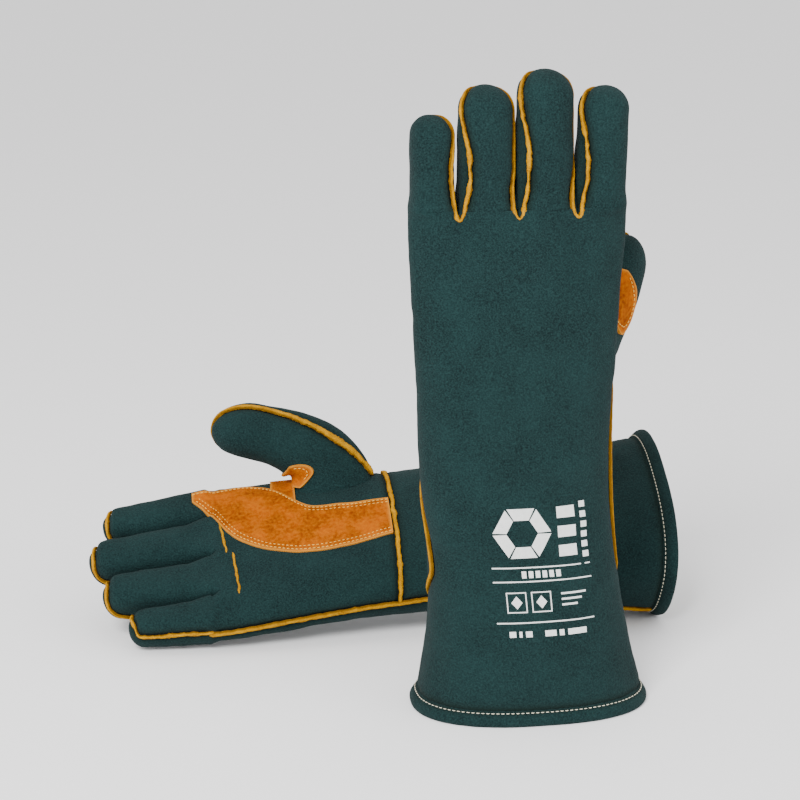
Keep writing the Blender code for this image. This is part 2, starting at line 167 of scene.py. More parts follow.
def finger_point(name, angle, along, inset):
    """A finger's tube; along runs from 0 at the crotch to 1 at the fingertip."""
    end = finger_section(name, TIP_Z[name])[0]
    top = TIP_Z[name] - end
    z = np.where(along < ROUND_FROM, CROTCH_Z + (top - CROTCH_Z) * along / ROUND_FROM, top)
    turn = np.clip((along - ROUND_FROM) / (1 - ROUND_FROM), 0, 1) * math.pi / 2
    wide, deep, bend = finger_section(name, z + end * np.sin(turn))
    bend = np.where(outer_side(name, np.cos(angle)), ROUNDED, bend)
    shrink = np.cos(turn) ** 0.9
    x = (wide - inset) * shrink * power(np.cos(angle), 2 / bend)
    y = -(deep - inset) * shrink * power(np.sin(angle), 2 / bend)
    up = (end - inset) * np.sin(turn)
    # the round tip rolls over towards the palm, which takes the seam off the top
    roll = TIP_ROLL * smooth_step(turn / math.pi * 2.4)
    y, up = y * np.cos(roll) + up * np.sin(roll), up * np.cos(roll) - y * np.sin(roll) * np.sin(turn)
    z = z + up
    sway = SPREAD[name] * (z - CROTCH_Z) / (TIP_Z[name] - CROTCH_Z)
    return np.stack([x + CENTRE[name] + sway, y, z + 0 * x], -1)


# How the glove being built turns its side seams: a share of the shift along the hand, and
# the shift in metres along the low cuff. build() sets both.
SWING = {"share": 1.0, "cuff": 0.020}


def side_seam_shift(z, thumb_side):
    """How far a side seam lies towards the palm. It comes round to the edge along the cuff."""
    little = smooth_curve(z, ((0, -0.0010), (0.122, -0.0010), (0.146, 0.0110),
                              (0.200, 0.0110), (CROTCH_Z, 0.0105)))
    thumb = smooth_curve(z, ((0, -0.0010), (0.200, -0.0012), (0.230, 0.0075),
                             (0.260, 0.0085), (CROTCH_Z, 0.0085)))
    cuff = SWING["cuff"] * (1 - smooth_step((z - 0.060) / 0.034))
    return np.where(thumb_side, thumb, little) * SWING["share"] + cuff


def lobes(z):
    """How far the hand's top has parted into finger roots: 0 below, 1 at the crotch."""
    length = 0.007
    return smooth_step((z - CROTCH_Z + length) / length)


def nearest_finger(u):
    """Which finger's root lies at a place across the hand, as an index into FINGERS."""
    edges = HAND_HALF - np.cumsum([WIDTH[f] for f in FINGERS])[:-1]
    return (u[..., None] < edges).sum(-1)


C_OF, W_OF, D_OF = (np.array([d[f] for f in FINGERS]) for d in (CENTRE, WIDTH, DEPTH))


def hand_point(side, x, z, inset):
    """A point of the back (side -1) or palm (side 1) at a given x, up to past the crotch.

    Its height above the middle plane is a blend, by lobes(z), of one wide arch over the
    whole hand and one narrow arch over each finger's root.
    """
    x, z = np.broadcast_arrays(np.asarray(x, float), np.asarray(z, float))
    u = np.clip(x / half_width(z), -1, 1) * HAND_HALF
    f = nearest_finger(u)
    share = (u - C_OF[f]) / (W_OF[f] / 2)
    low = (half_depth(z) - inset) * arch(u / HAND_HALF, SECTION)
    outer = ((f == 0) & (share > 0)) | ((f == 3) & (share < 0))
    high = (D_OF[f] - inset) * arch(share, np.where(outer, ROUNDED, BOXY))
    parted = lobes(z)
    narrower = np.where(np.abs(u) > 0, inset * u / HAND_HALF, 0)
    y = side * ((1 - parted) * low + parted * high)
    near_side = smooth_step((np.abs(u) / HAND_HALF - 0.72) / 0.2)
    reach = 0.008 + 0.42 * half_depth(z)
    y = y + near_side * np.exp(-(y / reach) ** 2) * side_seam_shift(z, u > 0)
    # a shifted point goes back onto the section's outline
    tube = (half_width(z) - inset) * arch(y / (half_depth(z) - inset), SECTION)
    root = np.abs(C_OF[f]) + (W_OF[f] / 2 - inset) * arch(y / (D_OF[f] - inset), ROUNDED)
    on_outline = np.sign(u) * ((1 - parted) * tube + parted * root)
    side_share = smooth_step((np.abs(u) / HAND_HALF - 0.70) / 0.04)
    return np.stack([(x - narrower) * (1 - side_share) + on_outline * side_share, y, z], -1)


def hand_columns(count):
    """Places across the hand, dense where fingers part, from thumb side to little side."""
    angle = np.linspace(0, math.pi, count + 1)
    places = [CENTRE[f] + WIDTH[f] / 2 * power(np.cos(angle), 0.5) for f in FINGERS]
    return np.concatenate([places[0]] + [p[1:] for p in places[1:]])


THUMB_FACING = math.radians(33.4)         # how far the thumb's base faces round from the palm
THUMB_Z, THUMB_EDGE = 0.2250, 0.0325      # the base's height, and its place along the palm's edge
THUMB_BASE, THUMB_STALL = (0.0270, 0.0130), (0.0185, 0.0150)    # half sizes, along and across
THUMB_STOP = 0.8                          # place on the centre line where the round tip starts
THUMB_RISE = 0.032                        # how far the thumb grows straight out of the palm


class Thumb:
    """A thumb stall: an oval that leaves the palm squarely and bends up to its tip."""

    def __init__(self, tip):
        """Its centre line is a quadratic curve from the base over a knee to the tip."""
        self.tip = np.array(tip)
        self.out = np.array([math.sin(THUMB_FACING), math.cos(THUMB_FACING), 0.0])
        edge = np.array([math.cos(THUMB_FACING), -math.sin(THUMB_FACING), 0.0])
        heights = [THUMB_Z - THUMB_BASE[0], THUMB_Z, THUMB_Z + THUMB_BASE[0]]
        angle, z = np.meshgrid(np.linspace(math.pi, 2 * math.pi, 60), heights)
        reach = (oval(angle, z, 0.0) @ self.out).max()
        self.base = self.out * reach + edge * THUMB_EDGE + np.array([0, 0, THUMB_Z])
        self.knee = self.base + self.out * THUMB_RISE + np.array([0, 0, 0.0112])

    def frame(self, t):
        """Centre, long axis, short axis and direction of the section at a place t."""
        t = np.asarray(t, float)[..., None]
        centre = (1 - t) ** 2 * self.base + 2 * t * (1 - t) * self.knee + t * t * self.tip
        tangent = 2 * (1 - t) * (self.knee - self.base) + 2 * t * (self.tip - self.knee)
        square = smooth_step(t / 0.6)
        tangent = unit((1 - square) * self.out + square * unit(tangent))
        up = np.array([0.0, 0.0, 1.0])
        long = unit(up - (tangent @ up)[..., None] * tangent)
        return centre, long, np.cross(long, tangent), tangent

    def point(self, angle, along, inset):
        """A point of the stall; along runs from 0 at the palm to 1 at the tip."""
        at = np.minimum(along, ROUND_FROM) / ROUND_FROM * THUMB_STOP
        centre, long, short, tangent = self.frame(at)
        turn = np.clip((along - ROUND_FROM) / (1 - ROUND_FROM), 0, 1) * math.pi / 2
        root = np.clip(1 - along / 0.10, 0, 1) ** 2
        grow = smooth_step(at / THUMB_STOP)
        swell = 0.0030 * root - inset
        a, b = ((base * (1 - grow) + stall * grow + swell) * np.cos(turn) ** 0.9
                for base, stall in zip(THUMB_BASE, THUMB_STALL))
        x, y = a * power(np.cos(angle), 2 / SECTION), -b * power(np.sin(angle), 2 / SECTION)
        reach = np.linalg.norm(self.tip - self.frame(np.array([THUMB_STOP]))[0][0]) - inset
        sink = -0.007 * root + np.sin(turn) * reach
        return (centre + x[..., None] * long - y[..., None] * short + sink[..., None] * tangent)


# %% Where the two gloves are
hem_low, hem_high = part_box("left_cuff_hem")
SHIFT = np.array([(hem_low.x + hem_high.x) / 2, (hem_low.y + hem_high.y) / 2, 0.0])
LEAN = 0.0115                             # how far the standing hand is off to the side of its rim
ROLL, PITCH = math.radians(61.5), math.radians(3.2)    # the lying palm's normal, and its slope
ARCH = 0.0050                             # rise of the lying wrist between rim and fingertips
LYING_PLACE = (0.1262, 0.1660)            # where the lying glove's rim centre is on the floor


class Standing:
    """The left glove: upright on its rim, with a slight lean towards the little finger."""
    side, tip = "left", (0.0800, 0.0480, 0.2890)
    seam_swing, cuff_swing = 1.0, 0.028
    inner_seam, strap_turn, strap_rows = 0.15, -0.60, (0.10, 0.60)

    def place(self, p):
        """Carry points from the glove's own axes to where it stands."""
        p = np.asarray(p, float)
        lean = LEAN * smooth_step(p[..., 2] / WRIST_Z)
        return p - np.stack([lean, 0 * lean, 0 * lean], -1) + SHIFT


class Lying:
    """The right glove: mirrored, laid along -X with its palm turned up and to the front."""
    side, tip = "right", (0.0900, 0.0460, 0.3120)
    seam_swing, cuff_swing = 0.3, -0.020
    inner_seam, strap_turn, strap_rows = -0.85, 0.0, (0.03, 0.36)

    def __init__(self):
        """Lift the glove until the lowest point of its hem and hand is on the floor."""
        self.height = 0.0
        angle, z = np.meshgrid(np.linspace(0, 2 * math.pi, 90), np.linspace(0, FULL_Z, 90))
        self.height = -float(self.place(oval(angle, z, -HEM_PROUD * (z < HEM_TOP)))[..., 2].min())

    def place(self, p):
        """Carry points from the glove's own axes to where it lies."""
        x, y, z = np.moveaxis(np.asarray(p, float), -1, 0)
        x = x * (1 - 0.10 * smooth_step((z - 0.30) / 0.09)) * (1 - 0.04 * (1 - smooth_step(z / 0.10)))
        across = x * math.sin(ROLL) - y * math.cos(ROLL)
        up = x * math.cos(ROLL) + y * math.sin(ROLL)
        along = -z * math.cos(PITCH) + up * math.sin(PITCH)
        up = up * math.cos(PITCH) - z * math.sin(PITCH)
        rise = ARCH * np.sin(math.pi * np.clip(z / TIP_Z["middle"], 0, 1)) ** 2
        return SHIFT + np.stack([LYING_PLACE[0] + along, LYING_PLACE[1] + across,
                                 self.height + up + rise], -1)


# %% Soft unevenness
def noise(p, size, seed):
    """Smooth value noise from -1 to 1: random numbers at lattice corners, blended between them."""
    table = np.random.default_rng(seed).uniform(-1, 1, 4096)
    q = p / size
    cell = np.floor(q).astype(np.int64)
    t = q - cell
    t = t * t * (3 - 2 * t)
    total = 0
    for corner in range(8):
        bit = np.array([corner & 1, corner >> 1 & 1, corner >> 2 & 1])
        key = (cell + bit) @ np.array([73, 179, 1031]) % 4096
        weight = np.where(bit, t, 1 - t).prod(-1)
        total = total + weight * table[key]
    return total


def relief(p, seed):
    """How far the leather stands out or in: broad swells, folds across the hand, small dents."""
    folds = p * np.array([0.45, 0.6, 1.5])
    return (0.0009 * noise(p, 0.045, seed) + 0.00055 * noise(folds, 0.017, seed + 1)
            + 0.00022 * noise(p, 0.007, seed + 2))


# %% Turning grids of points into closed leather pieces
def mesh_object(name, points, faces, material, attributes=()):
    """A mesh object with outward faces and smooth shading."""
    data = bpy.data.meshes.new(name)
    data.from_pydata(np.asarray(points).reshape(-1, 3).tolist(), [], faces)
    for label, values in attributes:
        layer = data.attributes.new(label, "FLOAT", "POINT")
        layer.data.foreach_set("value", np.ravel(values).astype(np.float32))
    work = bmesh.new()
    work.from_mesh(data)
    bmesh.ops.recalc_face_normals(work, faces=work.faces)
    work.to_mesh(data)
    work.free()
    data.polygons.foreach_set("use_smooth", [True] * len(data.polygons))
    data.set_sharp_from_angle(angle=math.radians(58))
    data.materials.append(material)
    made = bpy.data.objects.new(name, data)
    bpy.context.scene.collection.objects.link(made)
    return made


def quads(index, closed=False):
    """Quads of a grid of vertex numbers; closed joins the last column to the first."""
    if closed:
        index = np.concatenate([index, index[:, :1]], 1)
    corners = [index[:-1, :-1], index[1:, :-1], index[1:, 1:], index[:-1, 1:]]
    return np.stack(corners, -1).reshape(-1, 4).tolist()


def shell(glove, name, walls, material, closed=False, edge=None):
    """A sheet with thickness: its outer and inner walls of points, joined round their borders."""
    index = np.arange(walls[0][..., 0].size).reshape(walls[0].shape[:2])
    back = index + index.size
    faces = quads(index, closed) + quads(back, closed)
    for row in (0, -1):
        faces += quads(np.stack([index[row], back[row]]), closed)
    if not closed:
        for column in (0, -1):
            faces += quads(np.stack([index[:, column], back[:, column]]))
    attributes = [("edge", np.concatenate([edge, edge]))] if edge is not None else []
    return mesh_object(f"{glove.side}_{name}", glove.place(np.concatenate(walls)), faces, material,
                       attributes)


def seam_distance(grid, seams):
    """Distance along the sheet to the nearest of its sewn borders."""
    steps = [np.linalg.norm(np.diff(grid, axis=axis), axis=-1) for axis in (0, 1)]
    up = np.concatenate([np.zeros((1, grid.shape[1])), np.cumsum(steps[0], 0)])
    over = np.concatenate([np.zeros((grid.shape[0], 1)), np.cumsum(steps[1], 1)], 1)
    ways = {"low": up, "high": up[-1:] - up, "first": over, "last": over[:, -1:] - over}
    return np.min([ways[s] for s in seams] + [np.full(up.shape, 1.0)], 0)


ALL_EDGES = ("first", "last", "low", "high")


def leather(glove, name, at, seams):
    """A sewn green leather. at(inset) gives its grid of points.

    It swells between its seams by the relief plus half a millimetre, and dips under them by the
    tuck. Both follow a bell curve of the distance to the seam. The tuck fades out at the crotch.
    """
    tuck, near = 0.0018, 0.006
    flat = at(np.zeros(at(0.0).shape[:2]))
    away = seam_distance(flat, seams)
    swell = (relief(flat, glove.seed) + 0.0005) * (1 - np.exp(-(away / 0.006) ** 2))
    if "thumb" not in name:
        z = flat[..., 2]
        tuck = tuck * (smooth_step((CROTCH_Z - z) / near) + smooth_step((z - CROTCH_Z) / near))
    inset = tuck * np.exp(-(away / 0.0024) ** 2) - swell
    # painted shade: the edge attribute darkens the suede in a bell curve along its seams, where the leather
    # tucks in
    return shell(glove, name, [at(inset), at(inset + LEATHER)], SUEDE,
                 edge=np.exp(-(away / 0.0042) ** 2))


def cut_leather(glove, name, flat, walls):
    """An orange leather whose cut edges, all round it, look pale. flat is its smooth grid."""
    edge = np.exp(-(seam_distance(flat, ALL_EDGES) / CUT_EDGE) ** 2)
    return shell(glove, name, walls, ORANGE, edge=edge)


def stall_leathers(glove, parts, along, point):
    """A finger's or thumb's leathers: each part is (name, first seam, last seam, columns)."""
    made = []
    for name, start, stop, count in parts:
        share = np.linspace(0, 1, count + 1)[None, :]
        angle = start[:, None] * (1 - share) + stop[:, None] * share

        def at(inset, angle=angle):
            return point(angle, along[:, None] + 0 * angle, inset)
        made.append(leather(glove, name, at, ("first", "last")))
    return made


def stall_rows(count):
    """Rows along a stall: even up to where its tip starts, and closer towards the tip."""
    return np.concatenate([np.linspace(0, ROUND_FROM, count, endpoint=False),
                           ROUND_FROM + (TIP_TO - ROUND_FROM) * np.linspace(0, 1, 20) ** 0.8])


def stall_lining(glove, name, point):
    """The closed cotton tube inside a finger's or thumb's leathers."""
    angle = turns(28)[None, :]
    rows = np.linspace(0, 1, 24)[:, None] + 0 * angle
    walls = [point(angle, rows, LEATHER + 0.002 + extra) for extra in (0.0, LINING)]
    return shell(glove, name, walls, COTTON, closed=True)


def resample(path, step):
    """The same path with points an even step apart, and the distance along it."""
    run = np.concatenate([[0], np.cumsum(np.linalg.norm(np.diff(path, axis=0), axis=-1))])
    at = np.linspace(0, run[-1], max(4, int(run[-1] / step)))
    return np.stack([np.interp(at, run, path[:, k]) for k in range(3)], -1), at


def path_and_below(glove, path_at, on, under, step):
    """A placed path at one inset, the distance along it, and the same number of points below it."""
    path, at = resample(glove.place(path_at(on)), step)
    below = resample(glove.place(path_at(under)), step)[0]
    below = np.stack([np.interp(np.linspace(0, 1, len(path)), np.linspace(0, 1, len(below)), below[:, k])
                      for k in range(3)], -1)
    return path, at, below


def strip(glove, name, path_at, half_wide, half_high, proud=0.0004, rough=0.16):
    """A golden welt: a flat strip with frayed edges that follows path_at(inset) along a seam."""
    sides = 12
    path, at, below = path_and_below(glove, path_at, -proud, -proud + 0.002, 0.0011)
    along = unit(np.gradient(path, axis=0))
    out = unit(path - below)
    across = unit(np.cross(along, out))
    out = np.cross(across, along)
    rng = np.random.default_rng(glove.seed + len(name))
    smooth = np.array([1, 2, 3, 2, 1]) / 9
    wander = np.convolve(rng.normal(0, 1, len(path) + 4), smooth, "valid")
    width = 1 + rough * np.convolve(rng.normal(0, 1, len(path) + 4), smooth, "valid") * 1.6
    ends = np.clip(np.minimum(at, at[-1] - at) / 0.0016, 0.35, 1)
    turn = turns(sides)
    fray = 1 + rough * 0.7 * rng.normal(0, 1, (len(path), sides)) * np.abs(np.cos(turn))
    wide = half_wide * (width * ends)[:, None] * fray * power(np.cos(turn), 0.7)
    high = half_high * ends[:, None] * power(np.sin(turn), 0.8)
    points = ((path + across * (wander * 0.0004)[:, None])[:, None] + wide[..., None] * across[:, None]
              + high[..., None] * out[:, None])
    index = np.arange(points.shape[0] * sides).reshape(-1, sides)
    faces = quads(index, True) + [index[0].tolist(), index[-1].tolist()]
    # painted shade: the strip's two long edges take the welt's dark brown edge colour, as shadow lines beside
    # it
    rim = np.tile(np.abs(np.cos(turn)) ** 3, (len(path), 1))
    return mesh_object(f"{glove.side}_{name}", points, faces, GOLD, [("edge", rim)])


def stitches(glove, name, paths, pitch, radius, material):
    """Rows of sewn stitches: short rounded beads of thread that dip into the leather at each end.

    A stitch has a ring at each of seven shares of its length. The rings rise and fall with the
    root of half a sine wave.
    """
    length, sides = 0.0021, 6
    share = np.array([0, 0.12, 0.32, 0.5, 0.68, 0.88, 1.0])
    all_points = []
    for path_at in paths:
        path, at, below = path_and_below(glove, path_at, -0.0001, 0.002, 0.0008)
        middle = np.arange(pitch / 2, at[-1], pitch)
        places = middle[:, None] + length * (share - 0.5)
        on = np.stack([np.interp(places, at, path[:, k]) for k in range(3)], -1)
        under = np.stack([np.interp(places, at, below[:, k]) for k in range(3)], -1)
        out = unit(on - under)
        along = unit(np.gradient(on, axis=1))
        across = np.cross(along, out)
        lift = radius * (np.sin(math.pi * share) ** 0.5 * 1.1 - 0.55)
        size = radius * np.array([0.3, 0.8, 1, 1, 1, 0.8, 0.3])
        turn = turns(sides)
        ring = (on + lift[:, None] * out)[:, :, None]
        ring = ring + (size[:, None] * np.cos(turn))[..., None] * across[:, :, None]
        ring = ring + (size[:, None] * np.sin(turn))[..., None] * out[:, :, None]
        all_points.append(ring)
    points = np.concatenate(all_points)
    index = np.arange(len(points) * len(share) * sides).reshape(len(points), len(share), sides)
    faces = sum((quads(one, True) + [one[0].tolist(), one[-1].tolist()] for one in index), [])
    return mesh_object(f"{glove.side}_{name}", points, faces, material)


# %% Leather, welt and cotton finishes
def node(tree, kind, place, **values):
    """A new node in a tree, with its properties set."""
    made = tree.nodes.new(kind)
    made.location = place
    for key, value in values.items():
        setattr(made, key, value)
    return made


def mottle_group():
    """A group that mottles a base colour: broad clouds, fine nap, and an edge colour that is painted shade
    along seams and welt edges, and a real pale cut edge on orange leather.
    """
    tree = bpy.data.node_groups.new("mottled_nap", "ShaderNodeTree")
    for label in ("Base", "Deep", "Pale", "Seam shade and cut edge"):
        tree.interface.new_socket(label, in_out="INPUT", socket_type="NodeSocketColor")
    for label in ("Clouds", "Nap", "Cloud share", "Nap share", "Edge share"):
        tree.interface.new_socket(label, in_out="INPUT", socket_type="NodeSocketFloat")
    for label, kind in (("Color", "Color"), ("Height", "Float")):
        tree.interface.new_socket(label, in_out="OUTPUT", socket_type=f"NodeSocket{kind}")
    into, out = node(tree, "NodeGroupInput", (-900, 0)), node(tree, "NodeGroupOutput", (900, 0))
    where = node(tree, "ShaderNodeTexCoord", (-900, -400))
    link = tree.links.new

    def cloud(scale, detail, place, spread):
        """Noise between 0 and 1, with its contrast stretched from the spread."""
        texture = node(tree, "ShaderNodeTexNoise", place)
        texture.inputs["Detail"].default_value = detail
        link(where.outputs["Object"], texture.inputs["Vector"])
        link(into.outputs[scale], texture.inputs["Scale"])
        ramp = node(tree, "ShaderNodeMapRange", (place[0] + 200, place[1]))
        ramp.inputs["From Min"].default_value, ramp.inputs["From Max"].default_value = spread
        link(texture.outputs["Fac"], ramp.inputs["Value"])
        return ramp.outputs["Result"]

    def mix(share, factor, first, second, place):
        """The first colour blended towards the second by share times factor."""
        times = node(tree, "ShaderNodeMath", (place[0] - 180, place[1]), operation="MULTIPLY")
        link(share, times.inputs[0])
        link(factor, times.inputs[1])
        made = node(tree, "ShaderNodeMix", place, data_type="RGBA")
        link(times.outputs[0], made.inputs["Factor"])
        link(first, made.inputs[6])
        link(second, made.inputs[7])
        return made.outputs[2]

    clouds = cloud("Clouds", 4.0, (-700, 300), (0.35, 0.65))
    nap = cloud("Nap", 3.0, (-700, 0), (0.3, 0.7))
    # the edge attribute: painted shade along the green seams, in the hem's groove and on the welts' edges,
    # and the real pale cut edge of the orange leather
    edge = node(tree, "ShaderNodeAttribute", (-700, -300), attribute_name="edge")
    colour = mix(into.outputs["Cloud share"], clouds, into.outputs["Base"], into.outputs["Deep"], (-100, 300))
    colour = mix(into.outputs["Nap share"], nap, colour, into.outputs["Pale"], (150, 200))
    colour = mix(into.outputs["Edge share"], edge.outputs["Fac"], colour, into.outputs["Seam shade and cut edge"], (400, 100))
    link(colour, out.inputs["Color"])
    link(nap, out.inputs["Height"])
    return tree


MOTTLE = mottle_group()


def finish(name, base, deep, pale, edge, clouds=30.0, nap=2500.0, cloud_share=0.6, nap_share=0.4,
           seam_shade_and_cut_edge_share=0.6, roughness=0.9, sheen=0.04, bump=0.5, depth=0.0004, specular=0.25):
    """A leather or cloth material from the shared mottled nap.

    It has four colours: the base, a deep one in the clouds, a pale one in the nap, and an edge
    one, which is painted shade along the green seams, the hem's groove and the welts' edges, and
    the real pale cut edge of the orange leather. clouds and nap are how often their noise repeats
    in a metre.
    """
    made = bpy.data.materials.new(name)
    made.use_nodes = True
    tree = made.node_tree
    shader = tree.nodes["Principled BSDF"]
    group = node(tree, "ShaderNodeGroup", (-500, 0), node_tree=MOTTLE)
    for label, colour in (("Base", base), ("Deep", deep), ("Pale", pale), ("Seam shade and cut edge", edge)):
        group.inputs[label].default_value = (*colour, 1.0)
    for label, value in (("Clouds", clouds), ("Nap", nap), ("Cloud share", cloud_share),
                         ("Nap share", nap_share), ("Edge share", seam_shade_and_cut_edge_share)):
        group.inputs[label].default_value = value
    raised = node(tree, "ShaderNodeBump", (-250, -250))
    raised.inputs["Strength"].default_value = bump
    raised.inputs["Distance"].default_value = depth
    tree.links.new(group.outputs["Color"], shader.inputs["Base Color"])
    tree.links.new(group.outputs["Height"], raised.inputs["Height"])
    tree.links.new(raised.outputs["Normal"], shader.inputs["Normal"])
    for label, value in (("Roughness", roughness), ("Sheen Weight", sheen), ("Sheen Roughness", 0.5),
                         ("Specular IOR Level", specular)):
        shader.inputs[label].default_value = value
    return made


# the fourth colour is painted shade: darker along the seams and in the hem's stitching groove
SUEDE = finish("green_leather", (0.0040, 0.0145, 0.0150), (0.0015, 0.0068, 0.0075),
               (0.0155, 0.0450, 0.0435), (0.0040, 0.0090, 0.0060), clouds=34.0, nap=1000.0,
               cloud_share=0.9, nap_share=0.6, seam_shade_and_cut_edge_share=0.8, roughness=0.95, sheen=0.015,
               bump=0.8, specular=0.12)
# the fourth colour is painted shade: dark brown shadow lines along a welt's two edges
GOLD = finish("golden_welt", (0.50, 0.225, 0.0004), (0.24, 0.080, 0.0004), (0.66, 0.37, 0.010),
              (0.12, 0.050, 0.004), clouds=150.0, nap=1300.0, cloud_share=0.8, nap_share=0.5,
              seam_shade_and_cut_edge_share=0.9, roughness=0.85, sheen=0.0, bump=0.9, depth=0.0005, specular=0.05)
ORANGE = finish("orange_leather", (0.34, 0.068, 0.0002), (0.13, 0.018, 0.0002), (0.58, 0.175, 0.0004),
                (0.60, 0.26, 0.03), clouds=60.0, nap=420.0, cloud_share=0.9, nap_share=0.4,
                seam_shade_and_cut_edge_share=0.7, roughness=0.80, sheen=0.0, bump=0.45, specular=0.04)
COTTON = finish("cotton_lining", (0.62, 0.60, 0.52), (0.50, 0.48, 0.40), (0.74, 0.72, 0.64),
                (0.5, 0.48, 0.4), clouds=60.0, nap=2200.0, roughness=0.95)
HEM_THREAD = finish("cream_thread", (0.72, 0.68, 0.52), (0.55, 0.50, 0.36), (0.85, 0.82, 0.70),
                    (0.5, 0.5, 0.4), roughness=0.75)
GOLD_THREAD = finish("yellow_thread", (0.82, 0.47, 0.06), (0.62, 0.30, 0.03), (0.92, 0.66, 0.18),
                     (0.6, 0.4, 0.1), roughness=0.7)
INK = finish("white_print", (0.72, 0.73, 0.71), (0.60, 0.62, 0.60), (0.80, 0.81, 0.79),
             (0.5, 0.5, 0.5), clouds=300.0, nap=1400.0, nap_share=0.3, roughness=0.85)
print("materials", [m.name for m in (SUEDE, GOLD, ORANGE, COTTON, HEM_THREAD, GOLD_THREAD, INK)])


# %% The leathers of one glove's hand and cuff
def side_seam(x):
    """The side seam at the thumb (x 1) or little finger (x -1), from the hem up to the crotch."""
    def at(inset):
        z = np.linspace(SEAM_FROM, CROTCH_Z + 0.002, 140)
        return hand_point(1, x * half_width(z), z, inset)
    return at


def hand_leathers(glove):
    """The back, the palm and the cuff's palm side, which meet at the side and wrist seams."""
    made = {}
    columns = hand_columns(22) / HAND_HALF
    for name, side, low, high, rows, seams in (
            ("back_leather", -1, SKIN_FROM, CROTCH_Z, 150, ("first", "last", "low")),
            ("cuff_leather", 1, SKIN_FROM, WRIST_Z, 80, ALL_EDGES),
            ("palm_leather", 1, WRIST_Z, CROTCH_Z, 80, ("first", "last", "low"))):
        z = np.linspace(low, high, rows)
        if high == CROTCH_Z:
            z = np.sort(np.concatenate([z, np.linspace(CROTCH_Z - 0.012, CROTCH_Z, 14)[1:-1]]))

        def at(inset, z=z[:, None], side=side):
            return hand_point(side, columns[None, :] * half_width(z), z + 0 * columns, inset)
        made[name] = leather(glove, name, at, seams)
    return made


def chaikin(points, times):
    """A closed outline with its corners cut, so that it turns smoothly.

    Each side keeps only its middle half, from a quarter to three quarters of the way along.
    """
    for turn in range(times):
        following = np.roll(points, -1, 0)
        kept = [0.75 * points + 0.25 * following, 0.25 * points + 0.75 * following]
        points = np.stack(kept, 1).reshape(-1, 2)
    return points


def hem(glove):
    """The turned rim: a thick roll of leather that ends in the groove of its stitching.

    The profile is (inset, z) points round the roll's section.
    """
    profile = chaikin(np.array([(0.0050, 0.0104), (0.0052, 0.0030), (0.0040, 0.0002), (0.0010, 0.0000),
                                (-0.0018, 0.0000), (-0.0030, 0.0014), (-0.0032, 0.0040), (-0.0022, 0.0064),
                                (-0.0002, 0.0080), (-0.0004, 0.0092), (0.0016, 0.0100), (0.0030, 0.0104)]), 2)
    angle = turns(240)[None, :]
    inset, z = profile[:, :1], profile[:, 1:]
    flat = oval(angle, z + 0 * angle, inset)
    bulge = 0.7 * relief(flat * np.array([1, 1, 0.3]), glove.seed) * smooth_step((0.0035 - inset) / 0.002)
    points = oval(angle, z + 0 * angle, inset - bulge)
    # painted shade: the groove mask paints half the suede's seam-shade colour into the stitching groove
    groove = np.exp(-((z - 0.0084) / 0.0012) ** 2) * (inset < 0.002) + 0 * angle
    index = np.arange(points[..., 0].size).reshape(points.shape[:2])
    index = np.concatenate([index, index[:1]])
    return mesh_object(f"{glove.side}_hem_roll", glove.place(points), quads(index, True), SUEDE,
                       [("edge", 0.5 * groove)])


def hem_row(inset):
    """The path of the hem's stitches, right round the glove."""
    return oval(np.linspace(0, 2 * math.pi, 400), np.full(400, 0.0086), inset - 0.0006)


def hand_lining(glove):
    """The cotton tube inside the cuff and hand, which waves half as much as the leather."""
    angle = turns(72)[None, :]
    z = np.linspace(0.0070, FULL_Z, 60)[:, None]
    wave = 0.5 * relief(oval(angle, z, 0.0), glove.seed + 9)
    walls = [oval(angle, z, LEATHER + 0.0012 + extra - wave) for extra in (0.0, LINING)]
    return shell(glove, "cuff_lining", walls, COTTON, closed=True)


def across_palm(glove, x_from, x_to, z_from, z_to):
    """A straight path across the palm between two places, on top of the swelling leather."""
    def at(inset):
        part = np.linspace(0, 1, 60)
        x, z = x_from + (x_to - x_from) * part, z_from + (z_to - z_from) * part
        return hand_point(1, x, z, inset - relief(hand_point(1, x, z, 0.0), glove.seed))
    return at


def wrist_seam(inset):
    """The path across the palm side where the cuff's leather meets the palm's."""
    x = np.linspace(0.985, -1.0, 120) * half_width(WRIST_Z)
    return hand_point(1, x, np.full(120, WRIST_Z), inset)


# %% The palm's orange reinforcement
def patch_low(z):
    """The patch's edge on the little finger's side, which swings over to the index finger."""
    return smooth_curve(z, ((0.190, -0.0160), (0.225, -0.0210), (0.262, -0.0180), (0.290, -0.0040),
                            (0.305, 0.0120), (0.316, 0.0330), (0.328, 0.0500)))


def patch_high(z):
    """The patch's edge on the thumb's side."""
    return smooth_curve(z, ((0.190, 0.0170), (0.225, 0.0190), (0.250, 0.0250), (0.268, 0.0460),
                            (0.285, 0.0565), (0.310, 0.0575), (0.328, 0.0570)))


PATCH_FROM, PATCH_TO = 0.1925, 0.3270     # where the patch starts above the wrist and where it ends
STRAP_PROUD = 0.0024                      # how far the thumb's strap stands out


def palm_side_point(x, z, inset):
    """A point of the palm that may run on past the crotch, over the index finger's root."""
    x, z = np.broadcast_arrays(np.asarray(x, float), np.asarray(z, float))
    hand = hand_point(1, x, np.minimum(z, CROTCH_Z), inset)
    wide, deep, bend = finger_section("index", z)
    y = (deep - inset) * arch((x - CENTRE["index"]) / (wide + 0.0006), bend)
    y = np.where(z > CROTCH_Z, y, hand[..., 1])
    # between two finger roots the patch bridges the dip instead of following it down
    bridge = 0.0140 * arch(x / (HAND_HALF + 0.001), 3.5)
    return np.stack([x, np.maximum(y, np.where(z > CROTCH_Z - 0.012, bridge - inset, 0)), z], -1)


